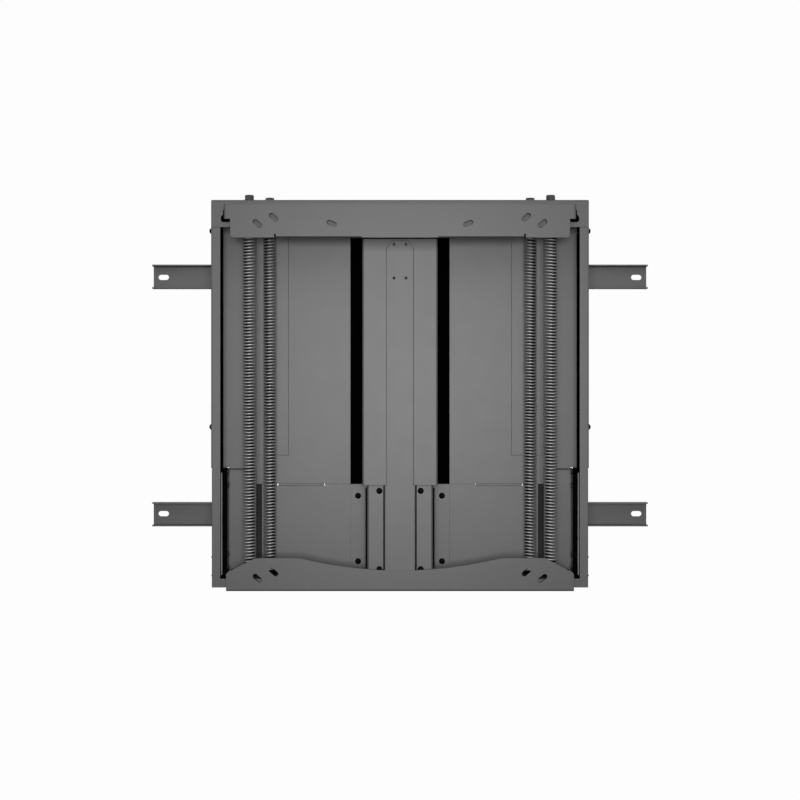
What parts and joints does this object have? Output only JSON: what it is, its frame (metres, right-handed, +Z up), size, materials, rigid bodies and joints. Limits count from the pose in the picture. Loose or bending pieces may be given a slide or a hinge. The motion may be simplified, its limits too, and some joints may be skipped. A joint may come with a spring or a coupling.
{
  "type": "height-adjustable tv wall mount",
  "caption": "Flat wall mount with a spring-balanced carriage and two slotted display bars that slide up and down in a shallow steel housing held on slotted wall rails.",
  "frame": {"origin": "centre of the wall slot pattern, on the wall plane", "axes": "+X to the right seen from the front, +Y into the wall, +Z up; the front faces -Y"},
  "size_m": [0.847, 0.11, 0.6577],
  "materials": {
    "housing_grey": "fine satin powder coat, mid grey",
    "panel_grey": "fine satin powder coat, mid grey",
    "column_grey": "fine satin powder coat, lighter grey",
    "bar_grey": "fine satin powder coat, mid grey",
    "rail_grey": "fine satin powder coat, darker grey",
    "black_plastic": "matt black moulded plastic",
    "tongue_plastic": "smooth pale plastic",
    "zinc_steel": "zinc plated",
    "spring_steel": "drawn wire, zinc plated",
    "screw_black": "black oxide, satin"
  },
  "bodies": {
    "housing": {"wall_rail_upper": "rail_grey", "wall_rail_lower": "rail_grey", "rail_blocks": "rail_grey", "rail_bolts": "zinc_steel", "back_panel": "housing_grey", "side_channel_left": "housing_grey", "side_channel_right": "housing_grey", "top_cap": "housing_grey", "bottom_cross_member": "housing_grey", "side_panel_left": "panel_grey", "side_panel_right": "panel_grey", "centre_track": "black_plastic", "outer_plate_left": "housing_grey", "outer_plate_right": "housing_grey", "side_screws_left": "screw_black", "side_screws_right": "screw_black", "guide_rail_left": "black_plastic", "guide_rail_right": "black_plastic", "upper_stops": "black_plastic", "lower_bumpers": "black_plastic", "adjuster_washers": "zinc_steel", "lock_plates": "black_plastic"},
    "carriage": {"carriage_plate": "panel_grey", "wing_flange_left": "panel_grey", "wing_flange_right": "panel_grey", "slide_block_left": "black_plastic", "slide_block_right": "black_plastic", "slide_tongue_left": "tongue_plastic", "slide_tongue_right": "tongue_plastic", "slide_screws_left": "screw_black", "slide_screws_right": "screw_black", "mast_bracket_left": "column_grey", "mast_bracket_right": "column_grey", "mast": "column_grey", "strap": "column_grey", "strap_rivets": "zinc_steel", "mast_spacers": "column_grey", "mast_head_plate": "column_grey", "carriage_screws": "screw_black", "spring_shelf_left": "panel_grey", "spring_shelf_right": "panel_grey", "lower_plugs": "zinc_steel", "lower_plug_bolts": "zinc_steel", "glide_strips": "black_plastic", "catch_bars": "panel_grey", "catch_pins": "zinc_steel", "top_bar": "bar_grey", "bottom_bar": "bar_grey"},
    "adjuster_outer_left": {"adjuster_bolt_outer_left": "zinc_steel"},
    "plug_outer_left": {"tension_plug_outer_left": "zinc_steel", "spring_outer_left": "spring_steel"},
    "adjuster_inner_left": {"adjuster_bolt_inner_left": "zinc_steel"},
    "plug_inner_left": {"tension_plug_inner_left": "zinc_steel", "spring_inner_left": "spring_steel"},
    "adjuster_outer_right": {"adjuster_bolt_outer_right": "zinc_steel"},
    "plug_outer_right": {"tension_plug_outer_right": "zinc_steel", "spring_outer_right": "spring_steel"},
    "adjuster_inner_right": {"adjuster_bolt_inner_right": "zinc_steel"},
    "plug_inner_right": {"tension_plug_inner_right": "zinc_steel", "spring_inner_right": "spring_steel"}
  },
  "joints": [
    {"name": "lift", "type": "slide", "parent": "housing", "child": "carriage", "axis": [0, 0, 1], "range_m": [0, 0.4], "deforming": ["spring_outer_left", "spring_inner_left", "spring_outer_right", "spring_inner_right"]},
    {"name": "adjust_outer_left", "type": "hinge", "parent": "housing", "child": "adjuster_outer_left", "pos_m": [-0.2514, -0.082, 0.3267], "axis": [0, 0, 1], "range_deg": [-5765, 1445]},
    {"name": "tension_outer_left", "type": "slide", "parent": "housing", "child": "plug_outer_left", "axis": [0, 0, 1], "range_m": [-0.005, 0.02]},
    {"name": "adjust_inner_left", "type": "hinge", "parent": "housing", "child": "adjuster_inner_left", "pos_m": [-0.2204, -0.045, 0.3267], "axis": [0, 0, 1], "range_deg": [-5765, 1445]},
    {"name": "tension_inner_left", "type": "slide", "parent": "housing", "child": "plug_inner_left", "axis": [0, 0, 1], "range_m": [-0.005, 0.02]},
    {"name": "adjust_outer_right", "type": "hinge", "parent": "housing", "child": "adjuster_outer_right", "pos_m": [0.2514, -0.082, 0.3267], "axis": [0, 0, 1], "range_deg": [-5765, 1445]},
    {"name": "tension_outer_right", "type": "slide", "parent": "housing", "child": "plug_outer_right", "axis": [0, 0, 1], "range_m": [-0.005, 0.02]},
    {"name": "adjust_inner_right", "type": "hinge", "parent": "housing", "child": "adjuster_inner_right", "pos_m": [0.2204, -0.045, 0.3267], "axis": [0, 0, 1], "range_deg": [-5765, 1445]},
    {"name": "tension_inner_right", "type": "slide", "parent": "housing", "child": "plug_inner_right", "axis": [0, 0, 1], "range_m": [-0.005, 0.02]}
  ],
  "couplings": [
    {"joint": "adjust_outer_left", "follows": "tension_outer_left", "rad_per_m": -5026.5},
    {"joint": "adjust_inner_left", "follows": "tension_inner_left", "rad_per_m": -5026.5},
    {"joint": "adjust_outer_right", "follows": "tension_outer_right", "rad_per_m": -5026.5},
    {"joint": "adjust_inner_right", "follows": "tension_inner_right", "rad_per_m": -5026.5}
  ]
}
